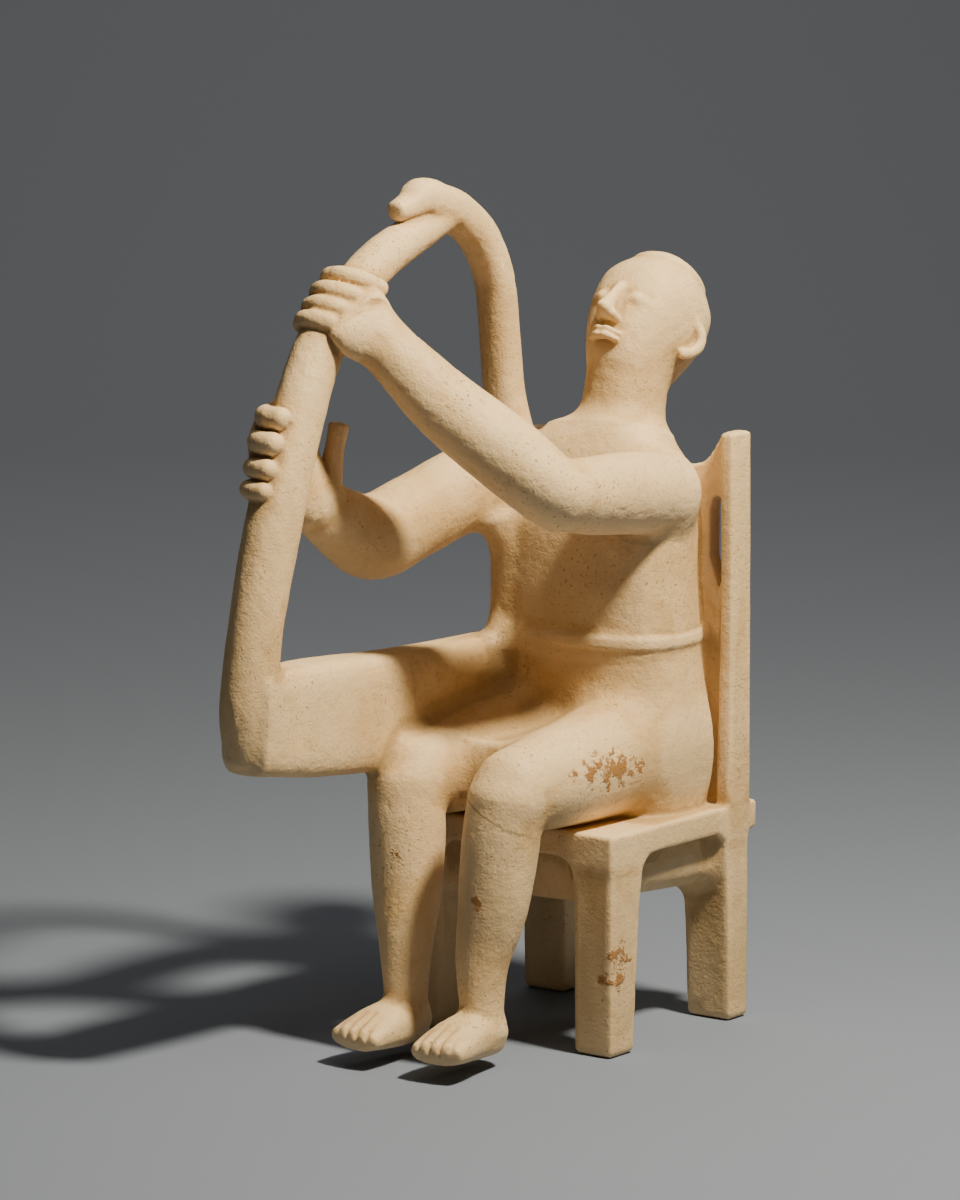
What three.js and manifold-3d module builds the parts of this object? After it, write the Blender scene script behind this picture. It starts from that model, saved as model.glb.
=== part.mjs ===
// A seated harp player carved from one block of marble: the figure, its high-backed chair and its harp are one solid.
// Millimetres, +Z up. The player faces -Y and its left side is +X. The chair is centred on the origin while it is
// modelled; the finished solid is then moved so that the origin is the middle of the underside of its box.
import * as THREE from "three";
import { mergeVertices } from "three/addons/utils/BufferGeometryUtils.js";
import Module from "manifold-3d";

const wasm = await Module();
wasm.setup();

// ---- driving dimensions -------------------------------------------------------------------------------------------
const TOTAL_HEIGHT = 292; // floor to the top of the harp

const SEAT_TOP = 76;
const SEAT_UNDERSIDE = 50;
const CHAIR_HALF_WIDTH = 44.5;
const CHAIR_HALF_DEPTH = 41;
const RAIL = 9; // depth of the rails round the top of the seat
const POST_TOP = 205;
const RIGHT_POST_DROP = 4; // the right post is a little shorter than the left
const BACK_Y = 34; // middle of the chair's back

const HIP_Y = 13; // middle of the body, front to back
const WAIST_Z = 133;
const KNEE = { x: 21, y: -66, z: 92 };
const ANKLE = { x: 16, y: -75, z: 22 };
const RIGHT_KNEE_OUT = 2.5; // the right knee stands a little wider, under the harp

const HARP_X = -36; // the harp's own plane

const X_AXIS = new THREE.Vector3(1, 0, 0);
const Y_AXIS = new THREE.Vector3(0, 1, 0);
const Z_AXIS = new THREE.Vector3(0, 0, 1);
const DEGREE = Math.PI / 180;

// ---- making solids ------------------------------------------------------------------------------------------------

// A closed geometry as a solid that can be joined and cut.
function solid(geometry) {
  const bare = geometry.clone();
  bare.deleteAttribute("normal");
  bare.deleteAttribute("uv");
  const merged = mergeVertices(bare, 1e-4);
  return new wasm.Manifold(
    new wasm.Mesh({
      numProp: 3,
      vertProperties: new Float32Array(merged.attributes.position.array),
      triVerts: new Uint32Array(merged.index.array),
    }),
  );
}

const join = (parts) => parts.reduce((whole, part) => whole.add(part));
const vector = ([x, y, z]) => new THREE.Vector3(x, y, z);
const curve = (points) => new THREE.CatmullRomCurve3(points.map(vector), false, "catmullrom");

// A smooth closed skin through oval stations [x, y, z, half width, half depth].
// The half width lies along `side` and the half depth across it. `square` is 2 for an ellipse and more for a squarer
// section. `domes` is how far each end bulges past its last station, as a share of that station's half depth.
function limb(stations, { side = X_AXIS, around = 14, between = 3, square = 2, domes = [0.8, 0.8] } = {}) {
  const path = curve(stations);
  const sizes = curve(stations.map(([, , , halfWidth, halfDepth]) => [halfWidth, halfDepth, 0]));
  const rings = [];
  const addRing = (t, shrink, shift) => {
    const along = path.getTangent(t);
    const u = side.clone().addScaledVector(along, -side.dot(along)).normalize();
    const v = new THREE.Vector3().crossVectors(along, u);
    const size = sizes.getPoint(t);
    const centre = path.getPoint(t).addScaledVector(along, shift * size.y);
    rings.push({ centre, u: u.multiplyScalar(size.x * shrink), v: v.multiplyScalar(size.y * shrink) });
  };
  const domeTurns = [30 * DEGREE, 60 * DEGREE];
  if (domes[0] > 0) for (const turn of [...domeTurns].reverse()) addRing(0, Math.cos(turn), -domes[0] * Math.sin(turn));
  const steps = (stations.length - 1) * between;
  for (let i = 0; i <= steps; i++) addRing(i / steps, 1, 0);
  if (domes[1] > 0) for (const turn of domeTurns) addRing(1, Math.cos(turn), domes[1] * Math.sin(turn));

  const positions = [];
  const rounded = (value) => Math.sign(value) * Math.abs(value) ** (2 / square);
  for (const { centre, u, v } of rings)
    for (let j = 0; j < around; j++) {
      const angle = (j / around) * 2 * Math.PI;
      const p = centre.clone().addScaledVector(u, rounded(Math.cos(angle))).addScaledVector(v, rounded(Math.sin(angle)));
      positions.push(p.x, p.y, p.z);
    }
  for (const [t, bulge] of [[0, -domes[0]], [1, domes[1]]]) {
    const pole = path.getPoint(t).addScaledVector(path.getTangent(t), bulge * sizes.getPoint(t).y);
    positions.push(pole.x, pole.y, pole.z);
  }
  const index = [];
  const firstPole = rings.length * around;
  const lastRing = (rings.length - 1) * around;
  for (let j = 0; j < around; j++) {
    const next = (j + 1) % around;
    for (let ring = 0; ring < lastRing; ring += around)
      index.push(ring + j, ring + next, ring + next + around, ring + j, ring + next + around, ring + j + around);
    index.push(firstPole, next, j, firstPole + 1, lastRing + j, lastRing + next);
  }
  const geometry = new THREE.BufferGeometry();
  geometry.setAttribute("position", new THREE.Float32BufferAttribute(positions, 3));
  geometry.setIndex(index);
  return solid(geometry);
}

// A block given by two opposite corners.
function block([x0, y0, z0], [x1, y1, z1]) {
  const box = new THREE.BoxGeometry(x1 - x0, y1 - y0, z1 - z0);
  box.translate((x0 + x1) / 2, (y0 + y1) / 2, (z0 + z1) / 2);
  return solid(box);
}

// An upright plate across the chair, from an outline in x and z, between two depths in y.
function plate(shape, front, back) {
  const geometry = new THREE.ExtrudeGeometry(shape, { depth: back - front, bevelEnabled: false, curveSegments: 5 });
  geometry.rotateX(90 * DEGREE);
  geometry.translate(0, back, 0);
  return solid(geometry);
}

// ---- chair --------------------------------------------------------------------------------------------------------

function chairLeg(side, end) {
  const front = end < 0;
  const outer = (halfWidth) => side * (CHAIR_HALF_WIDTH - halfWidth);
  const rim = (halfDepth) => end * (CHAIR_HALF_DEPTH - halfDepth);
  const sizes = front ? [[7.8, 7], [8.2, 8.6], [9, 10.4]] : [[9, 6], [9.8, 6.6], [10.6, 8]];
  const heights = [-3, 46, SEAT_TOP - 4];
  return limb(
    sizes.map(([halfWidth, halfDepth], i) => [outer(halfWidth), rim(halfDepth), heights[i], halfWidth, halfDepth]),
    { square: 7, around: 16, between: 1, domes: [0, 0] },
  );
}

// The seat is a slab whose rails arch between the legs, with the mass of the seat set back below them.
function seat() {
  const slab = block([-CHAIR_HALF_WIDTH, -CHAIR_HALF_DEPTH, SEAT_UNDERSIDE], [CHAIR_HALF_WIDTH, CHAIR_HALF_DEPTH, SEAT_TOP]);
  const archTop = SEAT_TOP - RAIL;
  const archHalfHeight = archTop - SEAT_UNDERSIDE + 6;
  const archZ = archTop - archHalfHeight;
  const sides = [-1, 1].map((side) =>
    limb([[side * CHAIR_HALF_WIDTH, -20.5, archZ, 6, archHalfHeight], [side * CHAIR_HALF_WIDTH, 26, archZ, 6, archHalfHeight]],
      { square: 4, around: 8, between: 1, domes: [0.12, 0.12] }));
  const ends = [-1, 1].map((end) =>
    limb([[-26, end * CHAIR_HALF_DEPTH, archZ, 5, archHalfHeight], [26, end * CHAIR_HALF_DEPTH, archZ, 5, archHalfHeight]],
      { side: Y_AXIS, square: 4, around: 8, between: 1, domes: [0.12, 0.12] }));
  // The mass of the seat sags a little towards the back.
  const mass = limb([[0, -33, 62.5, 37.5, 12.5], [0, 2, 61, 38.5, 13.5], [0, 33, 60, 38.5, 14.5]], { square: 4, around: 16, between: 1, domes: [0, 0] });
  return slab.subtract(join([...sides, ...ends])).add(mass);
}

// Two flat-topped posts and, between them, a thin panel whose top sweeps down from the posts like a yoke.
const postTop = (side) => POST_TOP - (side < 0 ? RIGHT_POST_DROP : 0);

function chairBack() {
  const posts = [-1, 1].map((side) =>
    limb([[side * 41.2, BACK_Y + 0.8, SEAT_TOP - 6, 3.3, 6.8], [side * 41.9, BACK_Y + 0.8, 140, 2.7, 6.2], [side * 41.7, BACK_Y + 0.4, postTop(side) - 1.5, 2.8, 6]],
      { square: 4, around: 12, between: 1, domes: [0, 0.25] }));
  const outline = new THREE.Shape();
  outline.moveTo(-41, SEAT_TOP - 6);
  outline.lineTo(41, SEAT_TOP - 6);
  outline.lineTo(41, POST_TOP - 1);
  outline.lineTo(38, POST_TOP - 1);
  outline.quadraticCurveTo(33, 194, 24, 192);
  outline.lineTo(-24, 192);
  outline.quadraticCurveTo(-33, 193, -38, postTop(-1) - 1);
  outline.lineTo(-41, postTop(-1) - 1);
  outline.closePath();
  for (const side of [-1, 1]) {
    const slot = new THREE.Path();
    slot.moveTo(side * 37.2, 151);
    slot.lineTo(side * 39.3, 157);
    slot.lineTo(side * 39.3, 177.5);
    slot.quadraticCurveTo(side * 36.4, 187.5, side * 33.6, 177.5);
    slot.lineTo(side * 33.6, 161);
    slot.closePath();
    outline.holes.push(slot);
  }
  return join([plate(outline, BACK_Y - 3, BACK_Y + 3.5), ...posts]);
}

// The ends of the side rails run on behind the back posts.
function railEnds() {
  return join([-1, 1].map((side) =>
    limb([[side * 38, 30, SEAT_TOP - 5.2, 6.2, 5.1], [side * 38, 45.2, SEAT_TOP - 5.2, 6.2, 5.1]], { square: 5, around: 12, between: 1, domes: [0.1, 0.1] })));
}

function chair() {
  const legs = [];
  for (const side of [-1, 1]) for (const end of [-1, 1]) legs.push(chairLeg(side, end));
  return join([seat(), chairBack(), railEnds(), ...legs]);
}

// ---- player -------------------------------------------------------------------------------------------------------

function trunk() {
  // A low roll stands proud of the skin round the waist.
  const roll = 1;
  const body = limb(
    [[0, HIP_Y, 74, 38.5, 22.5], [0, HIP_Y, 100, 39.5, 23.5], [-0.6, HIP_Y, 126.5, 37, 23],
      [-0.6, HIP_Y - 0.5, WAIST_Z - 2.5, 36.8 + roll, 23 + roll], [-0.6, HIP_Y - 0.5, WAIST_Z + 2.5, 36.4 + roll, 23 + roll],
      [-0.7, HIP_Y, 140, 36, 22.8], [-1, HIP_Y, 156, 35.4, 22.5],
      [-0.6, HIP_Y + 1, 176, 34.6, 21.5], [-0.6, HIP_Y + 4, 193, 31, 17.5], [-1, HIP_Y + 7, 202.5, 23, 14]],
    { square: 3, around: 20, between: 2, domes: [0, 0.3] },
  );
  const neck = limb([[0, 24, 192, 16, 15], [0, 26.5, 208, 14.6, 14.6], [0, 29.5, 222, 14.2, 14.4], [0, 33, 236, 14, 14]], { around: 14, between: 2, domes: [0, 0.5] });
  // The right side of the chest runs forward to meet the arm and the harp.
  const chestSide = limb([[-27, -5, 130, 7, 8], [-27, -1.5, 141, 7, 7], [-27, -1, 152, 7, 7], [-27, -2, 163, 7, 7.5], [-28, -6, 175, 7, 9]],
    { around: 12, between: 1, domes: [0.5, 0.5] });
  return join([body, neck, chestSide]);
}

// The head is tilted back: its long axis runs from the chin, low in front, to the crown, high behind.
const HEAD_TILT = 38 * DEGREE;
const HEAD_CENTRE = [0, 38, 237.5];
const HEAD_HALF = { width: 19.2, depth: 20.5, height: 27 };

function head() {
  const frame = new THREE.Matrix4()
    .makeTranslation(...HEAD_CENTRE)
    .multiply(new THREE.Matrix4().makeRotationX(-HEAD_TILT));
  const place = (part) => part.transform(frame.elements);
  const { width: w, depth: d, height: h } = HEAD_HALF;
  // In its own frame the head is upright: the face looks along -Y and the chin is down.
  const skull = limb(
    [[0, 1, -0.86 * h, 0.42 * w, 0.52 * d], [0, 0.5, -0.55 * h, 0.72 * w, 0.84 * d], [0, 1, 0, 0.97 * w, d],
      [0, 2, 0.45 * h, 0.97 * w, 0.98 * d], [0, 2.5, 0.8 * h, 0.68 * w, 0.7 * d]],
    { around: 16, between: 2, square: 2.3, domes: [0.3, 0.38] },
  );
  const nose = limb([[0, -0.9 * d, 0.1 * h, 1.7, 3], [0, -1.06 * d, -0.14 * h, 2.5, 3.6], [0, -1.12 * d, -0.32 * h, 3.8, 4]],
    { around: 10, between: 1, domes: [0.5, 0.5] });
  const lips = [-0.5, -0.6].map((z) => limb([[-5, -0.86 * d, z * h, 1.3, 1.6], [0, -0.97 * d, z * h, 1.5, 1.8], [5, -0.86 * d, z * h, 1.3, 1.6]],
    { side: Z_AXIS, around: 6, between: 1, domes: [0.5, 0.5] }));
  const ears = [-1, 1].map((side) =>
    limb([[side * 0.96 * w, 3, 0.2 * h, 1.6, 2], [side * 1.02 * w, 7, 0.02 * h, 2, 2], [side * 0.95 * w, 4, -0.26 * h, 1.5, 2]],
      { around: 8, between: 1, domes: [0.8, 0.8] }));
  return place(join([skull, nose, ...lips, ...ears]));
}

function leg(side) {
  const out = (x) => side * x;
  const kneeX = side * (KNEE.x + (side < 0 ? RIGHT_KNEE_OUT : 0));
  const forward = side > 0 ? 2.5 : 0; // the left shin bows further forward
  const calfX = (share) => THREE.MathUtils.lerp(kneeX, out(ANKLE.x), share) - (side > 0 ? 2.5 : 0);
  const thigh = limb([[out(20), 24, 97, 18, 22], [out(20), -4, 96, 18, 20.5], [kneeX, -36, 94, 16, 17.5], [kneeX - 1, KNEE.y + 5 - forward, KNEE.z, 13.5, 14.5]],
    { around: 14, between: 2, domes: [0, 0.8] });
  const shin = limb([[kneeX - 1, KNEE.y + 1 - forward, KNEE.z - 2, 12.8, 11.5], [calfX(0.05), -65 - forward, 76, 12.8, 13.4], [calfX(0.3), -67.5 - forward, 54, 11.6, 12],
    [calfX(0.7), -72 - forward / 2, 36, 9, 9.2], [out(ANKLE.x), ANKLE.y, ANKLE.z, 7.3, 7.8], [out(ANKLE.x), ANKLE.y, 12, 7.4, 8]], { around: 12, between: 2, domes: [0.8, 0] });
  const foot = limb([[out(ANKLE.x), ANKLE.y + 3, 11, 7.2, 7], [out(16.2), -84, 12, 9, 7.6], [out(16.8), -94, 11, 10.2, 5.8], [out(17.3), -101, 10, 10.2, 4]],
    { around: 12, between: 2, square: 2.4, domes: [0.7, 0.6] });
  // Four grooves part the toes.
  const grooves = [-0.55, -0.18, 0.18, 0.55].map((share) =>
    limb([[out(17) + share * 10, -93, 18.4, 0.7, 1.4], [out(17.3) + share * 11.5, -101, 15.2, 0.9, 2], [out(17.4) + share * 12, -106, 10, 0.9, 2]],
      { around: 4, between: 1, domes: [0, 0] }));
  return join([thigh, shin, foot]).subtract(join(grooves));
}

function lap() {
  return limb([[0, 10, 92, 22, 14], [0, -20, 93, 21, 13], [0, -46, 92, 20, 12]], { square: 3, around: 12, between: 1, domes: [0, 0.3] });
}

// The upper arm and the forearm meet in a sharp fold inside the elbow.
function leftArm() {
  const upperArm = limb(
    [[29, 14, 184, 10.5, 13.5], [29, -8, 187, 12.5, 14], [27, -30, 188.2, 12.8, 13], [25, -43, 189.6, 12.2, 11.6]],
    { around: 14, between: 2 },
  );
  const forearm = limb(
    [[26, -43, 188, 12, 11.4], [22, -49.5, 193.6, 12.4, 12.2], [11, -58, 205.2, 12.2, 13], [-5.5, -68.5, 220.8, 10.8, 12.2],
      [-19.5, -79, 238.5, 8.4, 10.2], [-25, -85.5, 246.4, 6.6, 13], [-28, -88, 250.4, 4.6, 12.6]],
    { around: 14, between: 2, domes: [0.7, 0.3] },
  );
  return join([upperArm, forearm]);
}

function rightArm() {
  return limb(
    [[-27, 16, 186, 12, 13], [-36.5, -8, 185, 12.5, 14.6], [-43.5, -34, 176.2, 12.6, 14.8], [-46, -54, 171, 12.6, 14.8],
      [-46, -72, 177.5, 9.8, 12.2], [-46, -88, 188, 7, 10.5], [-45, -98, 197, 5.5, 11]],
    { around: 16, between: 2 },
  );
}

// ---- harp ---------------------------------------------------------------------------------------------------------

// The pillar's middle line, bottom to top, with its half width and half depth.
const PILLAR = [
  [-130, 108.5, 9, 10.8], [-131.6, 124, 9.2, 11.4], [-129, 148, 8.4, 10], [-119.8, 181, 8.8, 10.4], [-107.3, 215, 8.4, 9.8], [-92.5, 242, 8, 8.6],
  [-68, 263, 7.5, 7.4], [-41, 274.4, 6.8, 6.6], [-24, 280, 6, 6],
].map(([y, z, halfWidth, halfDepth]) => [HARP_X, y, z, halfWidth, halfDepth]);

function harp() {
  const soundbox = limb([[HARP_X + 0.5, -134, 119, 10, 17], [HARP_X + 1, -100, 116.5, 10, 19.5], [HARP_X + 1, -55, 113.5, 10, 20], [HARP_X + 2, -5, 112, 10, 21]],
    { square: 4.5, around: 12, between: 1, domes: [0.2, 0] });
  const pillar = limb(PILLAR, { around: 14, between: 2, domes: [0.45, 0] });
  const neck = limb(
    [[HARP_X + 3, 8, 196, 8, 8], [HARP_X + 1, 5.4, 214, 7, 6.8], [HARP_X, 3.8, 235, 6.9, 6.5], [HARP_X, 0.8, 254.5, 6.8, 6.5], [HARP_X, -8, 269.6, 6.9, 6.8],
      [HARP_X, -21, 279, 7.1, 7], [HARP_X, -32, 282.8, 7.2, 6.9], [HARP_X, -40, TOTAL_HEIGHT - 7, 7, 6.8], [HARP_X, -46.5, 283, 5, 4.6], [HARP_X, -53.5, 281.4, 3.7, 3.5]],
    { around: 12, between: 2, square: 2.4, domes: [0.3, 0.5] },
  );
  return join([soundbox, pillar, neck]);
}

// ---- hands --------------------------------------------------------------------------------------------------------

// A finger wrapped round the pillar: it starts beside the pillar at angle `from` and follows it round to angle `to`.
function wrappedFinger(centre, forward, { reach, from, to, thick }) {
  const stations = [];
  const steps = 3;
  for (let i = 0; i <= steps; i++) {
    const turn = THREE.MathUtils.lerp(from, to, i / steps) * DEGREE;
    const p = centre.clone().addScaledVector(X_AXIS, reach[0] * Math.cos(turn)).addScaledVector(forward, reach[1] * Math.sin(turn));
    stations.push([p.x, p.y, p.z, thick, thick]);
  }
  return limb(stations, { side: Z_AXIS, around: 8, between: 1, domes: [0, 0.9] });
}

// Each finger's place along the pillar [y, z] and its half thickness, from the little finger up.
const LEFT_FINGERS = [[-88, 243.8, 3.5], [-84.1, 248.4, 3.4], [-80, 253, 3.4], [-74.4, 257.4, 3.3]];
const RIGHT_FINGERS = [[-115.6, 194.2, 3.1], [-113.2, 201.2, 3.5], [-110.4, 209.4, 3.9], [-106.5, 217.3, 3.9]];

function leftHand() {
  const fingers = LEFT_FINGERS.map(([y, z, thick]) =>
    wrappedFinger(new THREE.Vector3(HARP_X, y, z), new THREE.Vector3(0, -0.9, 0.44), { reach: [9.4, 11], from: -15, to: 150, thick }));
  const palm = limb([[-24, -83, 250, 7, 6], [-34, -79, 255.5, 9, 6]], { side: new THREE.Vector3(0, 0.6, 0.8), around: 10, between: 1, domes: [0, 0] });
  return join([...fingers, palm]);
}

function rightHand() {
  const fingers = RIGHT_FINGERS.map(([y, z, thick]) =>
    wrappedFinger(new THREE.Vector3(HARP_X, y, z), new THREE.Vector3(0, -1, 0.05), { reach: [9.6, 11], from: 190, to: 80, thick }));
  const palm = limb([[-44, -88, 186, 6, 9], [-46, -98, 200, 4.5, 14], [-46, -106, 210, 4.5, 14]], { around: 12, between: 1 });
  const thumb = limb([[-43.5, -84, 184, 5, 8], [-43, -81, 194, 4, 5], [-42.5, -79.2, 203, 3.3, 3.5], [-42, -77.2, 211.5, 3.4, 3.6]],
    { around: 10, between: 1, domes: [0.5, 0.25] });
  return join([...fingers, palm, thumb]);
}

// ---- assembly -----------------------------------------------------------------------------------------------------

// Everything is joined and the chair's legs are cut level with the ground. The largest skin is the carving: any other
// is a pocket closed in between two fingers, which stays solid stone.
const belowGround = block([-60, -60, -20], [60, 60, 0]);
const parts = [chair(), trunk(), head(), leg(-1), leg(1), lap(), leftArm(), rightArm(), harp(), leftHand(), rightHand()];
const skins = join(parts).subtract(belowGround).simplify(0.24).decompose();
const carving = skins.reduce((largest, skin) => (skin.volume() > largest.volume() ? skin : largest));
const body = carving.getMesh();
const geometry = new THREE.BufferGeometry();
geometry.setAttribute("position", new THREE.BufferAttribute(new Float32Array(body.vertProperties), 3));
geometry.setIndex(new THREE.BufferAttribute(new Uint32Array(body.triVerts), 1));
geometry.computeBoundingBox();

const marble = new THREE.MeshStandardMaterial({ name: "marble", color: 0xd8c39c, roughness: 0.6, metalness: 0 });
const player = new THREE.Mesh(geometry, marble);
player.name = "seated_harp_player";
const { min, max } = geometry.boundingBox;
player.position.set(-(min.x + max.x) / 2, -(min.y + max.y) / 2, -min.z);

const group = new THREE.Group();
group.add(player);
export default group;
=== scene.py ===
"""A seated harp player carved from one block of marble: the stone's skin, its finish, and a plain studio.

The stone is worked out as a distance field in millimetres, measured from the middle of the chair's footprint,
with the player facing -Y and its left side at +X. The finished skin is moved to its place in the frame and
turned into metres.
"""
import math

import bpy
import numpy as np
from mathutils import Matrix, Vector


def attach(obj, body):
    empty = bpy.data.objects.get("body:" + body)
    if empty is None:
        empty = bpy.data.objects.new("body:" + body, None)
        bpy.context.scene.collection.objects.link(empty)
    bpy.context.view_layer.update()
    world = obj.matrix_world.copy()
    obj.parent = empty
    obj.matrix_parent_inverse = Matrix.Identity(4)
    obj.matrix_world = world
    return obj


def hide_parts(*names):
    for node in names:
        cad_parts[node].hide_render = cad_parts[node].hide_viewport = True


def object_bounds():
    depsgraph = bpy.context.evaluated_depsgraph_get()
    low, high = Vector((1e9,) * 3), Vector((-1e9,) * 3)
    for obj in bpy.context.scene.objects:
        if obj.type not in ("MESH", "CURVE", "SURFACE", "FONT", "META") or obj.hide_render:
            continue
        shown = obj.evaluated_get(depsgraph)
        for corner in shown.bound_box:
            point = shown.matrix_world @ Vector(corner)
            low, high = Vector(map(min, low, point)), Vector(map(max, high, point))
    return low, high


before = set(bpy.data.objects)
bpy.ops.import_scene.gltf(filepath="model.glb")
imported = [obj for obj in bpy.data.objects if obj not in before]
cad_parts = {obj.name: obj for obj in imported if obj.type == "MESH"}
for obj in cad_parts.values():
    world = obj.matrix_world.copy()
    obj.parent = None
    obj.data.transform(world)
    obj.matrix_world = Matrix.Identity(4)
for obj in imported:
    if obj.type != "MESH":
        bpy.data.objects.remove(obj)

import openvdb
from mathutils import Matrix, Vector

CAD_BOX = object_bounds()
PLAYER = "seated_harp_player"
HOLLOW = "hollow"  # the name of the attribute that says where the skin is hollow

# ---- measures, in millimetres --------------------------------------------------------------------

VOXEL = 0.6  # spacing of the grid that the stone is worked out on
BAND = 9.0  # distances are known this far from a skin
MOST_TRIANGLES = 194_000

TOTAL_HEIGHT = 292
SEAT_TOP = 76
CHAIR_HALF_WIDTH = 44.5
CHAIR_HALF_DEPTH = 41
RAIL = 9
POST_TOP = 205
BACK_Y = 34

HIP_Y = 13
WAIST_Z = 133
KNEE = (21, -66, 92)
ANKLE = (16, -75, 22)
RIGHT_KNEE_OUT = 2.5
RIGHT_POST_DROP = 4  # the right post is a little shorter than the left
LEFT_SHIN_FORWARD = 2.5

HARP_X = -36
PILLAR_FRONT = -142.71  # the furthest forward that the harp reaches

SIDEWAYS = (1, 0, 0)
UPWARDS = (0, 0, 1)


# ---- skins of the parts, as distances on a grid --------------------------------------------------

def smooth_curve(points, shares):
    """Places and directions at the given shares of a smooth line through the points."""
    points = np.asarray(points, float)
    padded = np.vstack([2 * points[0] - points[1], points, 2 * points[-1] - points[-2]])
    spans = len(points) - 1
    position = np.clip(np.asarray(shares, float) * spans, 0, spans)
    first = np.minimum(position.astype(int), spans - 1)
    u = (position - first)[:, None]
    before, start, end, after = (padded[first + i] for i in range(4))
    b = end - before
    c = 2 * before - 5 * start + 4 * end - after
    d = 3 * start - before - 3 * end + after
    place = start + (b * u + c * u**2 + d * u**3) / 2
    slope = (b + 2 * c * u + 3 * d * u**2) / 2
    length = np.linalg.norm(slope, axis=1, keepdims=True)
    return place, slope / np.maximum(length, 1e-9)


def as_part(points, triangles, quads):
    """The distance field of a closed skin, as (index of its lowest corner, values)."""
    low = np.floor((points.min(0) - BAND) / VOXEL).astype(int)
    high = np.ceil((points.max(0) + BAND) / VOXEL).astype(int)
    spacing = openvdb.createLinearTransform(voxelSize=VOXEL)
    grid = openvdb.FloatGrid.createLevelSetFromPolygons(
        np.ascontiguousarray(points, np.float32), np.ascontiguousarray(triangles, np.uint32),
        np.ascontiguousarray(quads, np.uint32), transform=spacing, halfWidth=BAND / VOXEL)
    values = np.empty(high - low + 1, np.float32)
    grid.copyToArray(values, ijk=tuple(int(i) for i in low))
    return low, values


def limb(stations, side=SIDEWAYS, square=2.0, domes=(0.8, 0.8), around=56, steps=10, frame_of=None):
    """A smooth closed form through oval stations [x, y, z, half width, half depth].

    The half width lies along `side` and the half depth across it. `square` is 2 for an ellipse and more for a
    squarer section. `domes` is how far each end bulges past its last station, as a share of that station's half
    depth.
    """
    stations = np.asarray(stations, float)
    spans = len(stations) - 1
    turns = np.radians(np.linspace(0, 90, 7)[1:-1])
    rows = [(0.0, math.cos(a), -domes[0] * math.sin(a)) for a in turns[::-1]] if domes[0] else []
    rows += [(i / (spans * steps), 1.0, 0.0) for i in range(spans * steps + 1)]
    rows += [(1.0, math.cos(a), domes[1] * math.sin(a)) for a in turns] if domes[1] else []
    shares, shrink, shift = (np.array(column) for column in zip(*rows))
    centre, direction = smooth_curve(stations[:, :3], shares)
    size, _ = smooth_curve(stations[:, 3:5], shares)
    centre = centre + direction * (shift * size[:, 1])[:, None]
    side = np.asarray(side, float)
    u = side - direction * (direction @ side)[:, None]
    u /= np.linalg.norm(u, axis=1, keepdims=True)
    v = np.cross(direction, u)
    angle = np.arange(around) / around * 2 * math.pi
    across, over = (np.sign(w) * np.abs(w) ** (2 / square) for w in (np.cos(angle), np.sin(angle)))
    rings = (centre[:, None] + u[:, None] * (size[:, 0] * shrink)[:, None, None] * across[None, :, None]
             + v[:, None] * (size[:, 1] * shrink)[:, None, None] * over[None, :, None])
    ends, ways = smooth_curve(stations[:, :3], [0, 1])
    tips = ends + ways * (np.array([-domes[0], domes[1]]) * stations[[0, -1], 4])[:, None]
    points = np.vstack([rings.reshape(-1, 3), tips])
    if frame_of is not None:
        points = points @ frame_of[:3, :3].T + frame_of[:3, 3]
    count = len(rings)
    ring = np.arange(around)
    following = (ring + 1) % around
    base = (np.arange(count - 1) * around)[:, None]
    corners = (base + ring, base + following, base + following + around, base + ring + around)
    quads = np.stack(corners, -1).reshape(-1, 4)
    last = (count - 1) * around
    caps = [np.stack([np.full(around, count * around), following, ring], -1),
            np.stack([np.full(around, count * around + 1), last + ring, last + following], -1)]
    return as_part(points, np.vstack(caps), quads)


def grid_lines(low, high):
    """The millimetre positions of a window of the grid along x, y and z, ready to be combined."""
    low = np.floor(np.asarray(low, float) / VOXEL).astype(int)
    high = np.ceil(np.asarray(high, float) / VOXEL).astype(int)
    x, y, z = ((np.arange(a, b + 1) * VOXEL).astype(np.float32) for a, b in zip(low, high))
    return low, x[:, None, None], y[None, :, None], z[None, None, :]


def block(low, high, rounding):
    """A block between two corners with rounded edges."""
    low, high = np.asarray(low, float), np.asarray(high, float)
    corner, x, y, z = grid_lines(low - BAND, high + BAND)
    middle, half = (low + high) / 2, (high - low) / 2 - rounding
    over = [np.abs(line - m) - h for line, m, h in zip((x, y, z), middle, half)]
    outside = np.sqrt(sum(np.maximum(o, 0) ** 2 for o in over))
    inside = np.minimum(np.maximum(np.maximum(over[0], over[1]), over[2]), 0)
    return corner, np.clip(outside + inside - rounding, -BAND, BAND).astype(np.float32)


def outline_distance(points, across, up):
    """Signed distance in a plane to a closed outline: negative inside."""
    points = np.asarray(points, float)
    nearest = np.full(np.broadcast(across, up).shape, 1e9)
    inside = np.zeros(nearest.shape, bool)
    for (ax, az), (bx, bz) in zip(points, np.roll(points, -1, axis=0)):
        ex, ez = bx - ax, bz - az
        share = np.clip(((across - ax) * ex + (up - az) * ez) / max(ex * ex + ez * ez, 1e-9), 0, 1)
        nearest = np.minimum(nearest, (across - ax - share * ex) ** 2 + (up - az - share * ez) ** 2)
        if abs(ez) > 1e-9:
            inside ^= ((az > up) != (bz > up)) & (across < ax + (up - az) * ex / ez)
    return np.where(inside, -1, 1) * np.sqrt(nearest)


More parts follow.
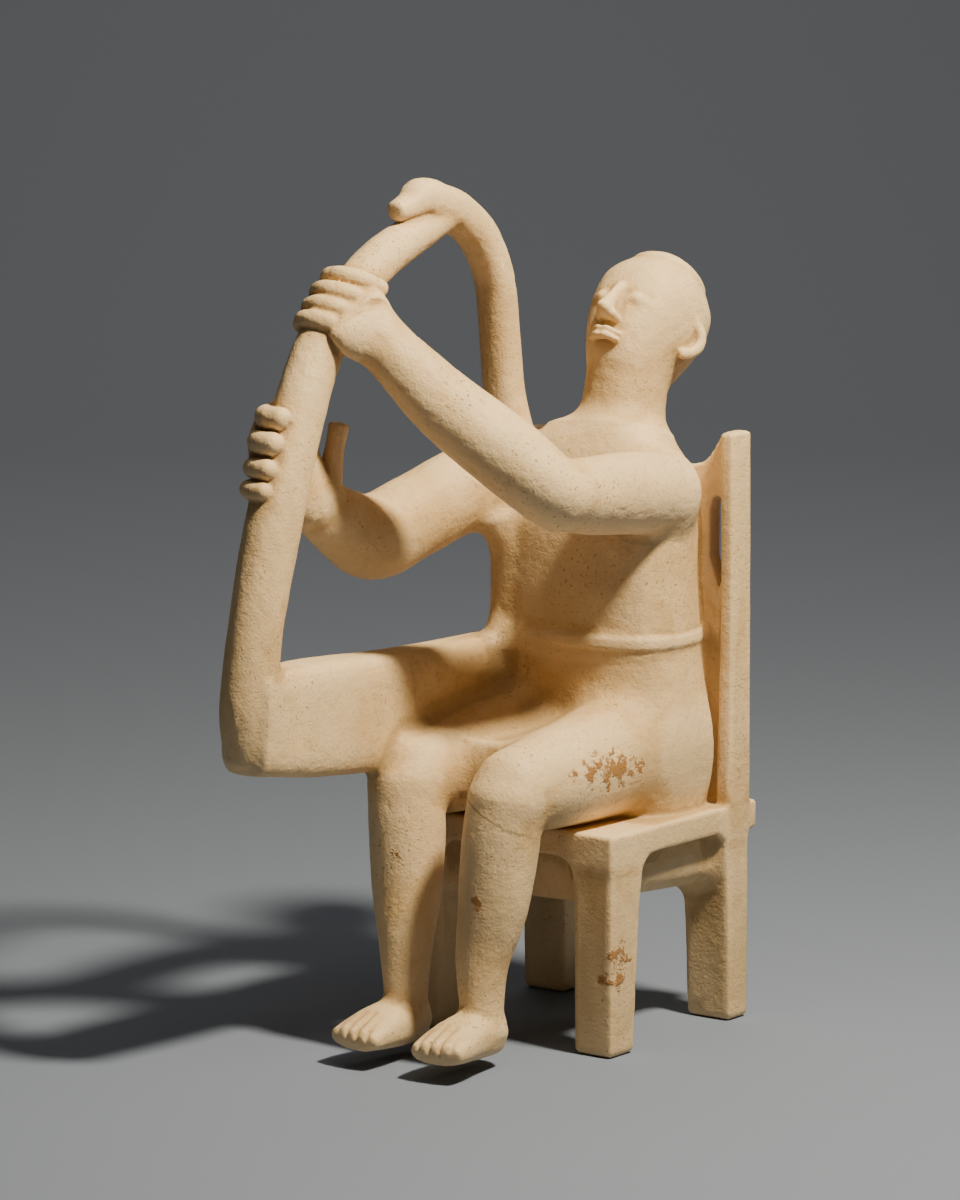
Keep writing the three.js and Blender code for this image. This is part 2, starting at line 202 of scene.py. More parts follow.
def plate(outline, front, back, rounding):
    """An upright plate across the chair, from an outline in x and z, between two depths in y."""
    outline = np.asarray(outline, float)
    low = (outline[:, 0].min() - BAND, front - BAND, outline[:, 1].min() - BAND)
    high = (outline[:, 0].max() + BAND, back + BAND, outline[:, 1].max() + BAND)
    corner, x, y, z = grid_lines(low, high)
    flat = outline_distance(outline, x[:, :, 0], z[:, 0, :])[:, None, :] + rounding
    deep = np.abs(y - (front + back) / 2) - (back - front) / 2 + rounding
    outside = np.sqrt(np.maximum(flat, 0) ** 2 + np.maximum(deep, 0) ** 2)
    inside = np.minimum(np.maximum(flat, deep), 0)
    return corner, np.clip(outside + inside - rounding, -BAND, BAND).astype(np.float32)


def bend(points, steps=10):
    """A smooth run of points through a few [x, z] corners of an outline."""
    return smooth_curve(points, np.linspace(0, 1, steps + 1))[0].tolist()


def smooth_least(a, b, blend):
    """The smaller of two distances, with a fillet of about `blend` where they meet."""
    blend = np.maximum(blend, 1e-3)
    share = np.maximum(blend - np.abs(a - b), 0) / blend
    return np.minimum(a, b) - share * share * blend / 4


class Stone:
    """A block's worth of grid that parts are added to and cut from."""

    def __init__(self, low, high):
        self.low = np.floor(np.asarray(low, float) / VOXEL).astype(int)
        self.high = np.ceil(np.asarray(high, float) / VOXEL).astype(int)
        self.field = np.full(self.high - self.low + 1, BAND, np.float32)

    def part(self):
        return self.low, self.field

    def _overlap(self, part):
        corner, values = part
        start = np.maximum(corner, self.low)
        stop = np.minimum(corner + np.array(values.shape), self.high + 1)
        here = tuple(slice(a, b) for a, b in zip(start - self.low, stop - self.low))
        there = tuple(slice(a, b) for a, b in zip(start - corner, stop - corner))
        x, y, z = ((np.arange(a, b) * VOXEL).astype(np.float32) for a, b in zip(start, stop))
        return here, values[there], (x[:, None, None], y[None, :, None], z[None, None, :])

    def add(self, part, blend=0.0):
        here, values, lines = self._overlap(part)
        blend = blend(*lines) if callable(blend) else blend
        self.field[here] = smooth_least(self.field[here], values, blend)

    def cut(self, part, blend=0.0):
        here, values, _ = self._overlap(part)
        self.field[here] = -smooth_least(-self.field[here], values, blend)

    def keep_inside(self, part, blend=0.0):
        """Cuts away what is outside a part, within the part's own window of the grid."""
        here, values, _ = self._overlap(part)
        self.field[here] = -smooth_least(-self.field[here], -values, blend)

    def keep_above(self, height, blend):
        """Cuts away what is below a level, with a rounded rim."""
        z = (np.arange(self.low[2], self.high[2] + 1) * VOXEL).astype(np.float32)[None, None, :]
        rows = z[0, 0] < height + 2 * BAND
        self.field[:, :, rows] = -smooth_least(-self.field[:, :, rows], (z - height)[:, :, rows], blend)


def eased(line, start, end, first, second):
    """A value that goes smoothly from `first` to `second` as a position goes from `start` to `end`."""
    share = np.clip((line - start) / (end - start), 0, 1)
    return first + (second - first) * share * share * (3 - 2 * share)


# ---- chair ---------------------------------------------------------------------------------------

PANEL_TOP = 192  # the back's top edge between the posts
SLOT = [[37.2, 151], [39.3, 157], [39.3, 177.5], [38, 181.6], [36.4, 182.6], [34.9, 181.6], [33.6, 177.5],
        [33.6, 161]]  # outline of the slot beside each post, as [distance from the middle, height]
RAIL_END_X = 38  # middle of each rail end that sticks out behind
RAIL_END_HALF = 6.2
RAIL_END_BACK = 45.7


def post_top(side):
    return POST_TOP - (RIGHT_POST_DROP if side < 0 else 0)


def chair_leg(side, end):
    """A tapered square leg, its outer faces flush with the seat's; the front legs are deeper than they are wide."""
    sizes = [(7.8, 7), (8.2, 8.6), (9, 10.4)] if end < 0 else [(9, 6), (9.8, 6.6), (10.6, 8)]
    heights = (-3, 46, SEAT_TOP - 4)
    stations = [[side * (CHAIR_HALF_WIDTH - w), end * (CHAIR_HALF_DEPTH - d), z, w, d]
                for (w, d), z in zip(sizes, heights)]
    return limb(stations, square=9, domes=(0, 0))


def panel_edge(side):
    """The panel's top edge from near the middle out to a post, as [distance from the middle, height]."""
    top = post_top(side)
    dip = PANEL_TOP + (2 if side > 0 else 1)
    return bend([[24, PANEL_TOP], [31, dip], [35.5, (PANEL_TOP + top) / 2 + 1], [38, top - 1]])


def carve_chair_back(stone):
    left = panel_edge(1)[::-1]
    right = [[-x, z] for x, z in panel_edge(-1)]
    foot_z = SEAT_TOP - 6
    panel = [[-41, foot_z], [41, foot_z], [41, POST_TOP - 1], *left, *right, [-41, post_top(-1) - 1]]
    stone.add(plate(panel, BACK_Y - 3, BACK_Y + 3.5, 1.0), 1.5)
    for side in (-1, 1):
        post = [[side * 41.2, BACK_Y + 0.8, foot_z, 3.3, 6.8], [side * 41.9, BACK_Y + 0.8, 140, 2.7, 6.2],
                [side * 41.7, BACK_Y + 0.4, post_top(side) - 1.5, 2.8, 6]]
        stone.add(limb(post, square=5, domes=(0, 0.25)), 1)
        slot = [[side * x, z] for x, z in SLOT]
        stone.cut(plate(slot, BACK_Y - 4, BACK_Y + 14, 0.3), 0.8)


def carve_chair(stone):
    x, y = CHAIR_HALF_WIDTH, CHAIR_HALF_DEPTH
    stone.add(block((-x, -y, SEAT_TOP - RAIL), (x, y, SEAT_TOP), 1.2))
    # the mass of the seat sags a little towards the back
    mass = [[0, -33, 62.5, 37.5, 12.5], [0, 2, 61, 38.5, 13.5], [0, 33, 60, 38.5, 14.5]]
    stone.add(limb(mass, square=4, domes=(0, 0)), 1.5)
    for side in (-1, 1):
        for end in (-1, 1):
            stone.add(chair_leg(side, end), 7)
    # the outer faces of seat and legs are one flat face
    stone.keep_inside(block((-x, -y, -12), (x, y, SEAT_TOP), 1.4), 1)
    for side in (-1, 1):
        low = (side * RAIL_END_X - RAIL_END_HALF, 30, SEAT_TOP - 10.3)
        high = (side * RAIL_END_X + RAIL_END_HALF, RAIL_END_BACK, SEAT_TOP - 0.1)
        stone.add(block(low, high, 1.6), 1.5)
    stone.keep_above(0, 3)
    carve_chair_back(stone)


# ---- player --------------------------------------------------------------------------------------

def trunk():
    return limb([[0, HIP_Y, 74, 38.5, 22.5], [0, HIP_Y, 100, 39.5, 23.5], [-0.6, HIP_Y, 126.5, 37, 23],
                 [-0.6, HIP_Y - 0.5, WAIST_Z, 36.6, 23],
                 [-0.7, HIP_Y, 140, 36, 22.8], [-1, HIP_Y, 156, 35.4, 22.5], [-0.6, HIP_Y + 1, 176, 34.6, 21.5],
                 [-0.6, HIP_Y + 4, 193, 31, 17.5], [-1, HIP_Y + 7, 202.5, 23, 14]], square=3, domes=(0, 0.3), around=96)


def waist_roll(body):
    """A thin roll that follows the skin of the body round the waist and fades out towards its right side."""
    low, values = body
    x, z = ((low[axis] + np.arange(values.shape[axis])) * VOXEL for axis in (0, 2))
    proud = eased(x, -30, 5, -1.0, 0.95)[:, None, None]
    band = -smooth_least(-(values - proud), -(np.abs(z - WAIST_Z - 2) - 2.7)[None, None, :], 2.0)
    return low, band.astype(np.float32)


def chest_side():
    """The right side of the chest runs forward to meet the arm and the harp."""
    return limb([[-27, -5, 130, 7, 8], [-27, -1.5, 141, 7, 7], [-27, -1, 152, 7, 7], [-27, -2, 163, 7, 7.5],
                 [-28, -6, 175, 7, 9]], domes=(0.5, 0.5))


def neck():
    return limb([[0, 24, 192, 16, 15], [0, 26.5, 208, 14.6, 14.6], [0, 29.5, 222, 14.2, 14.4],
                 [0, 33, 236, 14, 14]], domes=(0, 0.5))


HEAD_TILT = 38
HEAD_CENTRE = (0, 38, 237.5)
HEAD_WIDTH, HEAD_DEPTH, HEAD_HEIGHT = 19.2, 20.5, 27  # half of each


def head():
    """The head in its own upright frame, face towards -Y, then tilted back and set in its place."""
    tilt = np.array(Matrix.Translation(HEAD_CENTRE) @ Matrix.Rotation(-math.radians(HEAD_TILT), 4, "X"))
    w, d, h = HEAD_WIDTH, HEAD_DEPTH, HEAD_HEIGHT
    form = Stone((-34, 0, 195), (34, 78, 280))

    def piece(stations, **kind):
        return limb(stations, frame_of=tilt, **kind)

    skull = [[0, 1, -0.86 * h, 0.42 * w, 0.52 * d], [0, 0.5, -0.55 * h, 0.72 * w, 0.84 * d],
             [0, 1, 0, 0.97 * w, d], [0, 2, 0.45 * h, 0.97 * w, 0.98 * d], [0, 2.5, 0.8 * h, 0.68 * w, 0.7 * d]]
    form.add(piece(skull, square=2.3, domes=(0.3, 0.38), around=80))
    for side in (-1, 1):
        # a soft hollow for each eye, under the closed lids
        socket = [[side * 3.6, -1.12 * d, 0.03 * h, 2.6, 2.6], [side * 11, -1.0 * d, 0.02 * h, 2.2, 2.2]]
        form.cut(piece(socket, side=UPWARDS), 3)
    nose = [[0, -0.9 * d, 0.12 * h, 1.7, 3], [0, -1.03 * d, -0.14 * h, 2.2, 3.4], [0, -1.1 * d, -0.3 * h, 3, 3.8]]
    form.add(piece(nose, domes=(0.5, 0.4)), 2.5)
    for side in (-1, 1):
        wing = [[side * 2.4, -1.0 * d, -0.3 * h, 1.5, 2.2], [side * 3.1, -0.93 * d, -0.32 * h, 1.4, 2]]
        form.add(piece(wing, side=UPWARDS), 1.2)
        lid = [[side * 4.6, -0.86 * d, -0.01 * h, 1.2, 1.6], [side * 7.4, -0.86 * d, 0.015 * h, 2.1, 1.9],
               [side * 10.6, -0.72 * d, -0.005 * h, 1.1, 1.5]]
        form.add(piece(lid, side=UPWARDS, domes=(0.6, 0.6)), 1.5)
    for z, out, thick in ((-0.5, 0.935, 1.05), (-0.585, 0.92, 1.2)):
        lip = [[-5.2, -0.8 * d, z * h, 0.9, 1.4], [-2, -out * d, z * h + 0.2, thick, 1.7],
               [0, -out * d, z * h, thick, 1.8], [2, -out * d, z * h + 0.2, thick, 1.7],
               [5.2, -0.8 * d, z * h, 0.9, 1.4]]
        form.add(piece(lip, side=UPWARDS, domes=(0.6, 0.6)), 0.9)
    for side in (-1, 1):
        ear = [[side * 0.95 * w, 3, 0.2 * h, 1.6, 2], [side * 1.02 * w, 6.5, 0.1 * h, 1.9, 2],
               [side * 1.03 * w, 8, -0.04 * h, 1.9, 2], [side * 0.99 * w, 6.6, -0.18 * h, 1.7, 2],
               [side * 0.94 * w, 3.6, -0.27 * h, 1.5, 2]]
        form.add(piece(ear), 1.2)
    return form.part()


def knee_x(side):
    return side * (KNEE[0] + (RIGHT_KNEE_OUT if side < 0 else 0))


def shin_forward(side):
    return LEFT_SHIN_FORWARD if side > 0 else 0


def thigh(side):
    x = knee_x(side)
    return limb([[side * 20, 24, 97, 18, 22], [side * 20, -4, 96, 18, 20.5], [x, -36, 94, 16, 17.5],
                 [x - 1, KNEE[1] + 5 - shin_forward(side), KNEE[2], 13.5, 14.5]], domes=(0, 0.8), around=72)


def shin(side):
    x, foot_x, forward = knee_x(side), side * ANKLE[0], shin_forward(side)

    def calf_x(share):
        return x + (foot_x - x) * share - forward

    return limb([[x - 1, KNEE[1] + 1 - forward, KNEE[2] - 2, 12.8, 11.5],
                 [calf_x(0.05), -65 - forward, 76, 12.8, 13.4], [calf_x(0.3), -67.5 - forward, 54, 11.6, 12],
                 [calf_x(0.7), -72 - forward / 2, 36, 9, 9.2], [foot_x, ANKLE[1], ANKLE[2], 7.3, 7.8],
                 [foot_x, ANKLE[1], 12, 7.4, 8]], domes=(0.8, 0))


def foot(side):
    x = side * ANKLE[0]
    form = Stone((x - 18, -118, -8), (x + 18, -58, 34))
    sole = [[x, ANKLE[1] + 3, 11, 7.2, 7], [side * 16.2, -84, 12, 9, 7.6], [side * 16.8, -94, 11, 10.2, 5.8],
            [side * 17.3, -101, 10, 10.2, 4]]
    form.add(limb(sole, square=2.4, domes=(0.7, 0.6)))
    for share in (-0.55, -0.18, 0.18, 0.55):
        groove = [[side * 17 + share * 10, -93, 18.4, 0.7, 1.4],
                  [side * 17.3 + share * 11.5, -101, 15.2, 0.9, 2], [side * 17.4 + share * 12, -106, 10, 0.9, 2]]
        form.cut(limb(groove, domes=(0.5, 0.5)), 0.8)
    return form.part()


def lap():
    return limb([[0, 10, 92, 22, 14], [0, -20, 93, 21, 13], [0, -46, 92, 20, 12]], square=3, domes=(0, 0.3))


def left_upper_arm():
    return limb([[29, 14, 184, 10.5, 13.5], [29, -8, 187, 12.5, 14], [27, -30, 188.2, 12.8, 13],
                 [25, -43, 189.6, 12.2, 11.6]], around=72)


def left_forearm():
    return limb([[26, -43, 188, 12, 11.4], [22, -49.5, 193.6, 12.4, 12.2], [11, -58, 205.2, 12.2, 13],
                 [-5.5, -68.5, 220.8, 10.8, 12.2], [-19.5, -79, 238.5, 8.4, 10.2],
                 [-25, -85.5, 246.4, 6.6, 13], [-28, -88, 250.4, 4.6, 12.6]], domes=(0.7, 0.3), around=72)


def right_arm():
    return limb([[-27, 16, 186, 12, 13], [-36.5, -8, 185, 12.5, 14.6], [-43.5, -34, 176.2, 12.6, 14.8],
                 [-46, -54, 171, 12.6, 14.8], [-46, -72, 177.5, 9.8, 12.2], [-46, -88, 188, 7, 10.5],
                 [-45, -98, 197, 5.5, 11]], around=72)


# ---- harp ----------------------------------------------------------------------------------------

def soundbox():
    return limb([[HARP_X + 0.5, -134, 119, 10, 17], [HARP_X + 1, -100, 116.5, 10, 19.5],
                 [HARP_X + 1, -55, 113.5, 10, 20], [HARP_X + 2, -5, 112, 10, 21]], square=4.5, domes=(0.2, 0))


def pillar():
    stations = [(-130, 108.5, 9, 10.8), (-131.6, 124, 9.2, 11.4), (-129, 148, 8.4, 10), (-119.8, 181, 8.8, 10.4),
                (-107.3, 215, 8.4, 9.8), (-92.5, 242, 8, 8.6), (-68, 263, 7.5, 7.4), (-41, 274.4, 6.8, 6.6),
                (-24, 280, 6, 6)]
    return limb([[HARP_X, *station] for station in stations], domes=(0.45, 0))


def harp_neck():
    """The neck of the harp, which bends forward over the pillar and ends in a crest and a broken bill."""
    return limb([[HARP_X + 3, 8, 196, 8, 8], [HARP_X + 1, 5.4, 214, 7, 6.8], [HARP_X, 3.8, 235, 6.9, 6.5],
                 [HARP_X, 0.8, 254.5, 6.8, 6.5], [HARP_X, -8, 269.6, 6.9, 6.8], [HARP_X, -21, 279, 7.1, 7],
                 [HARP_X, -32, 282.8, 7.2, 6.9], [HARP_X, -40, TOTAL_HEIGHT - 7, 7, 6.8],
                 [HARP_X, -46.5, 283, 5, 4.6], [HARP_X, -53.5, 281.4, 3.7, 3.5]], square=2.4, domes=(0.3, 0.5))


# ---- hands ---------------------------------------------------------------------------------------

def wrapped_finger(centre, forward, reach, start, end, thick):
    """A finger that follows the pillar round from one angle to another."""
    centre, sideways, forward = (np.array(way) for way in (centre, SIDEWAYS, forward))
    stations = []
    for turn in np.radians(np.linspace(start, end, 6)):
        p = centre + sideways * reach[0] * math.cos(turn) + forward * reach[1] * math.sin(turn)
        stations.append([*p, thick, thick])
    return limb(stations, side=UPWARDS, domes=(0.8, 0.9), around=28, steps=5)


# Each finger's place along the pillar [y, z] and its half thickness, from the little finger up.
LEFT_FINGERS = [(-88, 243.8, 3.5), (-84.1, 248.4, 3.4), (-80, 253, 3.4), (-74.4, 257.4, 3.3)]
RIGHT_FINGERS = [(-115.6, 194.2, 3.1), (-113.2, 201.2, 3.5), (-110.4, 209.4, 3.9), (-106.5, 217.3, 3.9)]


def carve_left_hand(stone):
    palm = [[-24, -83, 250, 7, 6], [-34, -79, 255.5, 9, 6]]
    stone.add(limb(palm, side=(0, 0.6, 0.8), domes=(0, 0)), 2)
    for y, z, thick in LEFT_FINGERS:
        stone.add(wrapped_finger((HARP_X, y, z), (0, -0.9, 0.44), (9.4, 11), 2, 150, thick), 0.6)


def carve_right_hand(stone):
    palm = [[-44, -88, 186, 6, 9], [-46, -98, 200, 4.5, 14], [-46, -106, 210, 4.5, 14]]
    stone.add(limb(palm), 2)
    for y, z, thick in RIGHT_FINGERS:
        stone.add(wrapped_finger((HARP_X, y, z), (0, -1, 0.05), (9.6, 11), 190, 80, thick), 0.6)
    thumb = [[-43.5, -84, 184, 5, 8], [-43, -81, 194, 4, 5], [-42.5, -79.2, 203, 3.3, 3.5],
             [-42, -77.2, 211.5, 3.4, 3.6]]
    stone.add(limb(thumb, domes=(0.5, 0.25)), 1.5)


# ---- the whole stone -----------------------------------------------------------------------------

STONE_LOW, STONE_HIGH = (-62, -149, -4), (62, 69, 296)  # corners of the grid that the whole stone is carved on


def carve():
    stone = Stone(STONE_LOW, STONE_HIGH)
    carve_chair(stone)
    body = Stone(STONE_LOW, STONE_HIGH)
    torso = trunk()
    body.add(torso)
    body.add(waist_roll(torso), 0.8)
    body.add(chest_side(), 5)
    body.add(neck(), 9)
    body.add(head(), 3)
    body.add(left_upper_arm(), 5)
    body.add(left_forearm(), 2.5)
    body.add(right_arm(), 6)
    for side in (-1, 1):
        leg = Stone(STONE_LOW, (62, 40, 130))
        leg.add(thigh(side))
        leg.add(shin(side), 3.5)
        leg.add(foot(side), 3.5)
        body.add(leg.part(), 8)
    body.add(lap(), 8)
    body.add(soundbox(), 5)
    body.add(pillar(), lambda x, y, z: eased(z, 140, 165, 1.8, 0.8))
    body.add(harp_neck(), lambda x, y, z: eased(z, 225, 240, 4, 1.0))
    carve_left_hand(body)
    carve_right_hand(body)
    stone.add(body.part(), 1.5)
    return stone


def in_frame(place):
    """A place in the chair's millimetres, as metres in the frame."""
    low, high = CAD_BOX
    shift = (high[0] * 1000 - CHAIR_HALF_WIDTH, low[1] * 1000 - PILLAR_FRONT, low[2] * 1000)
    return tuple((p + s) / 1000 for p, s in zip(place, shift))


def to_mesh(stone, name):
    grid = openvdb.FloatGrid(BAND)
    grid.transform = openvdb.createLinearTransform(voxelSize=VOXEL)
    corner = tuple(int(i) for i in stone.low)
    grid.copyFromArray(np.ascontiguousarray(stone.field), ijk=corner, tolerance=1e-4)
    points, quads = grid.convertToQuads(isovalue=0)
    mesh = bpy.data.meshes.new(name)
    mesh.vertices.add(len(points))
    mesh.vertices.foreach_set("co", (points / 1000 + in_frame((0, 0, 0))).astype(np.float32).ravel())
    mesh.loops.add(quads.size)
    mesh.loops.foreach_set("vertex_index", quads.astype(np.int32).ravel())
    mesh.polygons.add(len(quads))
    mesh.polygons.foreach_set("loop_start", np.arange(0, quads.size, 4, dtype=np.int32))
    mesh.update(calc_edges=True)
    mesh.validate()
    return mesh


# ---- finishes ------------------------------------------------------------------------------------

class Socket:
    """A value of a material's nodes: arithmetic on it adds Math nodes."""

    def __init__(self, finish, socket):
        self.finish, self.socket = finish, socket

    def _math(self, operation, *values):
        return self.finish.node("ShaderNodeMath", {"operation": operation}, dict(enumerate(values)))

    def __add__(self, other): return self._math("ADD", self, other)
    def __radd__(self, other): return self._math("ADD", other, self)
    def __sub__(self, other): return self._math("SUBTRACT", self, other)
    def __rsub__(self, other): return self._math("SUBTRACT", other, self)
    def __mul__(self, other): return self._math("MULTIPLY", self, other)


class Finish:
    """A material and the nodes that make it."""

    def __init__(self, name):
        self.material = bpy.data.materials.new(name)
        self.material.use_nodes = True
        self.tree = self.material.node_tree
        self.tree.nodes.clear()

    def node(self, kind, settings=None, inputs=None, output=0):
        """Adds a node of a kind, with its settings first and then its sockets' values or links."""
        made = self.tree.nodes.new(kind)
        for name, value in (settings or {}).items():
            setattr(made, name, value)
        for name, value in (inputs or {}).items():
            if isinstance(value, Socket):
                self.tree.links.new(value.socket, made.inputs[name])
            else:
                made.inputs[name].default_value = value
        return Socket(self, made.outputs[output]) if made.outputs else None


# Darker patches of the stone, and where lime has crusted on it: the middle of each patch and its reach, in
# millimetres from the chair's middle. Some dark patches are stains where the stone has darkened with age; those under
# the seat, between the knees, low on the chair's left legs and on the left shin are painted shade.
STAINS_AND_PAINTED_SHADE = [
    ((-36, -136, 125), (16, 14, 46)),  # front of the harp
    ((19, -82, 52), (16, 14, 34)),  # left shin, painted shade under the knee
    ((36, -36, 24), (14, 14, 40)),  # left front leg of the chair, painted shade on its lower part
    ((38, 36, 24), (12, 12, 44)),  # left back leg of the chair, painted shade on its lower part
    ((-4, -10, 156), (34, 12, 22)),  # front of the body
    ((-36, 2, 232), (9, 9, 46)),  # neck of the harp
    ((-46, -58, 166), (14, 26, 12)),  # right elbow
    ((0, 22, 214), (17, 17, 14)),  # the player's neck
    ((-36, -124, 168), (10, 12, 30)),  # pillar
    ((0, 0, 52), (48, 40, 16)),  # underside of the seat, painted shade under it
    ((6, -50, 82), (14, 26, 14)),  # between the knees, painted shade between them
]
CRUSTS = [
    ((38, -32, 97), (17, 20, 7)),  # left thigh
    ((44, -36, 30), (5, 7, 12)),  # left front leg of the chair
    ((-16, -82, 66), (6, 6, 6)),  # right shin
    ((20, -84, 58), (5, 6, 9)),  # left shin
    ((-34, -80, 40), (8, 8, 14)),  # outer side of the right shin
]
BREAK_PLACE = (20, -80, 86)  # a mended break runs across the left shin, just below the knee
BREAK_ACROSS = (0.44, 0.1, 0.89)  # the direction that the break's plane faces

DULL_HONEY = (0.64, 0.43, 0.195, 1)
BRIGHT_HONEY = (0.79, 0.57, 0.305, 1)
CLOUD_BROWN = (0.50, 0.325, 0.14, 1)
STREAK_BROWN = (0.54, 0.34, 0.135, 1)
SPECK_BROWN = (0.42, 0.265, 0.11, 1)
CREASE_BROWN = (0.37, 0.235, 0.095, 1)
RUBBED_EDGE = (0.87, 0.68, 0.42, 1)
PIT_BROWN = (0.28, 0.17, 0.07, 1)
STAIN_AND_SHADE_BROWN = (0.46, 0.315, 0.15, 1)
CRUST_OCHRE = (0.33, 0.15, 0.035, 1)
BREAK_BROWN = (0.25, 0.16, 0.08, 1)
PAPER_GREY = (0.19, 0.225, 0.30, 1)


def marble():
    """Honey-coloured marble: cloudy, brown in its hollows, finely pitted, with a few ochre crusts."""
    finish = Finish("marble")
    node = finish.node
    place = node("ShaderNodeTexCoord", output="Object")
    hollow = node("ShaderNodeAttribute", {"attribute_name": HOLLOW}, output="Fac")

    def noise(scale, detail, roughness, distortion=0.0):
        return node("ShaderNodeTexNoise", None, {
            "Vector": place, "Scale": scale, "Detail": detail, "Roughness": roughness, "Distortion": distortion})

    def between(value, low, high):
        settings = {"clamp": True, "interpolation_type": "SMOOTHSTEP"}
        return node("ShaderNodeMapRange", settings, {"Value": value, "From Min": low, "From Max": high})

    def mixed(share, first, second):
        return node("ShaderNodeMix", {"data_type": "RGBA"}, {0: share, 6: first, 7: second}, output=2)

    def absolute(value):
        return node("ShaderNodeMath", {"operation": "ABSOLUTE"}, {0: value})

    def vector(operation, *values, output=0):
        return node("ShaderNodeVectorMath", {"operation": operation}, dict(enumerate(values)), output)

    cloud = noise(16, 5, 0.6)
    streak = noise(46, 6, 0.65, 0.8)
    speck = noise(380, 4, 0.65)
    pit_field = noise(900, 2, 0.5)
    worn = noise(30, 3, 0.5)
    pits = between(pit_field, 0.64, 0.71) * between(worn, 0.42, 0.62)
    ground = mixed(between(cloud, 0.36, 0.66), DULL_HONEY, BRIGHT_HONEY)
    stain = noise(9, 5, 0.65, 0.5)
    ground = mixed(between(stain, 0.46, 0.66) * 0.55, ground, CLOUD_BROWN)
    ground = mixed(between(streak, 0.50, 0.70) * 0.5, ground, STREAK_BROWN)
    ground = mixed(between(speck, 0.50, 0.72) * 0.42, ground, SPECK_BROWN)
    crease = between(hollow + (streak - 0.5) * 0.25, 0.08, 0.6)
    ground = mixed(crease * 0.6, ground, CREASE_BROWN)
    edge = between(hollow * -1.0 + (speck - 0.5) * 0.2, 0.15, 0.7)
    ground = mixed(edge * 0.4, ground, RUBBED_EDGE)
    ground = mixed(pits * 0.6, ground, PIT_BROWN)

    def patch(centre, reach, ragged, start, end):
        """A patch round a place: 1 in its middle and 0 outside it, with a ragged edge."""
        away = vector("SUBTRACT", place, in_frame(centre))
        away = vector("DIVIDE", away, tuple(r / 1000 for r in reach))
        far = vector("LENGTH", away, output="Value")
        return between(1.25 - far + ragged, start, end)

    def darkest(patches):
        mask = patches[0]
        for other in patches[1:]:
            mask = node("ShaderNodeMath", {"operation": "MAXIMUM"}, {0: mask, 1: other})
        return mask

    soft_edge, torn_edge = (streak - 0.5) * 1.6, (noise(210, 4, 0.7) - 0.5) * 4.2
    # darkens the stains, and paints shade under the seat, between the knees and on the lower legs
    stain_and_shade = darkest([patch(centre, reach, soft_edge, -0.1, 0.9) for centre, reach in STAINS_AND_PAINTED_SHADE])
    ground = mixed(stain_and_shade * 0.5, ground, STAIN_AND_SHADE_BROWN)
    crust = darkest([patch(centre, reach, torn_edge, 0.55, 0.95) for centre, reach in CRUSTS])
    colour = mixed(crust * 0.95, ground, CRUST_OCHRE)
    roughness = 0.5 + speck * 0.18 + crust * 0.15 + pits * 0.15
    height = noise(1100, 2, 0.5) * 0.35 + noise(300, 4, 0.6) * 0.8 - pits * 1.1 + crust * 0.7
    bump = node("ShaderNodeBump", None, {"Strength": 0.8, "Distance": 0.0006, "Height": height})
    from_break = vector("SUBTRACT", place, in_frame(BREAK_PLACE))
    across = vector("DOT_PRODUCT", from_break, BREAK_ACROSS, output="Value")
    along = vector("LENGTH", from_break, output="Value")
    thin = 1 - between(absolute(across + (streak - 0.5) * 0.003), 0.0001, 0.0006)
    line = thin * (1 - between(along, 0.013, 0.019))
    colour = mixed(line * 0.6, colour, BREAK_BROWN)
    shader = node("ShaderNodeBsdfPrincipled", None, {
        "Base Color": colour, "Roughness": roughness, "Normal": bump, "IOR": 1.45,
        "Subsurface Weight": 0.22, "Subsurface Radius": (1.0, 0.72, 0.45), "Subsurface Scale": 0.002})
    node("ShaderNodeOutputMaterial", None, {"Surface": shader})
    return finish.material


def backdrop_paper():
    finish = Finish("backdrop_paper")
    shader = finish.node("ShaderNodeBsdfPrincipled", None, {
        "Base Color": PAPER_GREY, "Roughness": 0.9, "Specular IOR Level": 0.2})
    finish.node("ShaderNodeOutputMaterial", None, {"Surface": shader})
    return finish.material


# ---- the weathering of the skin ------------------------------------------------------------------

